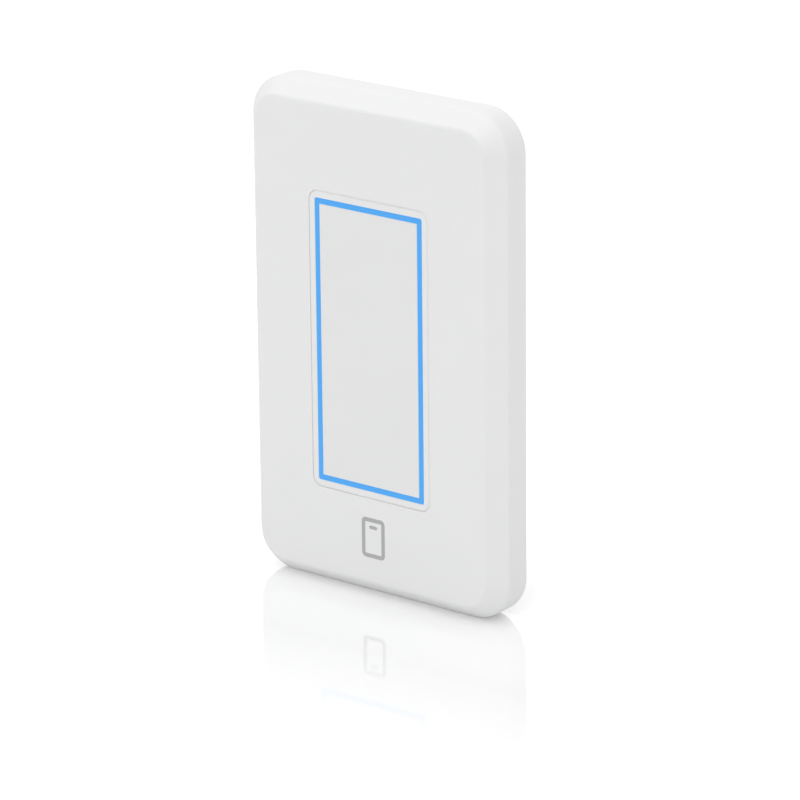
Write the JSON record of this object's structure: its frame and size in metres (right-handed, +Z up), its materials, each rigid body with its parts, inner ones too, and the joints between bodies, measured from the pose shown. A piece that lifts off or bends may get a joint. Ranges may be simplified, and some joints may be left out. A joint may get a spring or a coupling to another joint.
{
  "type": "rfid card reader",
  "caption": "Flush wall-box proximity card reader with a bevelled clip-on plate, a blank read window inside a lit blue outline, and a pluggable terminal block behind.",
  "frame": {"origin": "centre of the wall plate in the plane of the wall's surface, which is also the centre of the wall box", "axes": "+Z up along the plate's long side, -Y out of the wall through the read window, +X to the right as seen by the user"},
  "size_m": [0.0698, 0.03, 0.1142],
  "materials": {
    "white_plastic": "fine satin moulded white plastic",
    "window_plastic": "smooth opal white plastic",
    "slider_plastic": "moulded",
    "inner_plastic": "matt moulded",
    "lit_ring": "translucent light guide, lit blue from behind",
    "light_foam": "matt foam",
    "black_plastic": "fine textured moulded",
    "terminal_plastic": "satin moulded",
    "button_plastic": "satin moulded",
    "fibre": "pressed fibre",
    "switch_plastic": "satin moulded",
    "board_laminate": "solder mask over glass laminate",
    "ferrite": "matt sintered",
    "chip_resin": "matt moulded resin",
    "led_resin": "clear resin over phosphor",
    "label_film": "blank printed film",
    "dark_lens": "dark infrared window",
    "yoke_steel": "zinc plated pressed steel",
    "screw_zinc": "bright zinc plate",
    "coil_copper": "etched copper",
    "metal_can": "drawn can"
  },
  "bodies": {
    "reader": {"antenna_coil": "coil_copper", "board_header": "black_plastic", "board_socket": "black_plastic", "box_screw_bottom": "screw_zinc", "box_screw_top": "screw_zinc", "buzzer": "black_plastic", "capacitor_1": "metal_can", "capacitor_2": "metal_can", "crystal": "metal_can", "dip_switch": "switch_plastic", "ferrite_sheet": "ferrite", "front_board": "board_laminate", "front_housing": "white_plastic", "housing_screw_1": "screw_zinc", "housing_screw_2": "screw_zinc", "housing_screw_3": "screw_zinc", "housing_screw_4": "screw_zinc", "light_baffle": "light_foam", "light_ring": "lit_ring", "main_board": "board_laminate", "mounting_yoke": "yoke_steel", "plate_screw_bottom": "screw_zinc", "plate_screw_top": "screw_zinc", "power_inductor": "ferrite", "processor": "chip_resin", "rating_label": "label_film", "read_window": "window_plastic", "reader_chip": "chip_resin", "rear_housing": "black_plastic", "reset_switch": "metal_can", "screw_retainer_bottom": "fibre", "screw_retainer_top": "fibre", "status_led_1": "led_resin", "status_led_10": "led_resin", "status_led_2": "led_resin", "status_led_3": "led_resin", "status_led_4": "led_resin", "status_led_5": "led_resin", "status_led_6": "led_resin", "status_led_7": "led_resin", "status_led_8": "led_resin", "status_led_9": "led_resin", "sub_plate": "inner_plastic", "tamper_lens": "dark_lens", "tamper_sensor": "chip_resin", "terminal_header": "terminal_plastic"},
    "cover": {"cover_plate": "white_plastic"},
    "reset_button": {"reset_button": "button_plastic"},
    "dip_slider_1": {"dip_slider_1": "slider_plastic"},
    "dip_slider_2": {"dip_slider_2": "slider_plastic"},
    "terminal_plug": {"terminal_plug": "terminal_plastic", "terminal_screw_1": "screw_zinc", "terminal_screw_2": "screw_zinc", "terminal_screw_3": "screw_zinc", "terminal_screw_4": "screw_zinc", "terminal_screw_5": "screw_zinc", "terminal_screw_6": "screw_zinc"}
  },
  "joints": [
    {"name": "cover_pull", "type": "slide", "parent": "reader", "child": "cover", "axis": [0, -1, 0], "range_m": [0, 0.025]},
    {"name": "reset_press", "type": "slide", "parent": "reader", "child": "reset_button", "axis": [0, -1, 0], "range_m": [0, 0.0004], "stiffness_N_per_m": 1000, "springref_m": -0.0002},
    {"name": "dip_1_slide", "type": "slide", "parent": "reader", "child": "dip_slider_1", "axis": [0, 0, 1], "range_m": [0, 0.0013]},
    {"name": "dip_2_slide", "type": "slide", "parent": "reader", "child": "dip_slider_2", "axis": [0, 0, 1], "range_m": [0, 0.0013]},
    {"name": "plug_pull", "type": "slide", "parent": "reader", "child": "terminal_plug", "axis": [0, 1, 0], "range_m": [0, 0.01]}
  ]
}
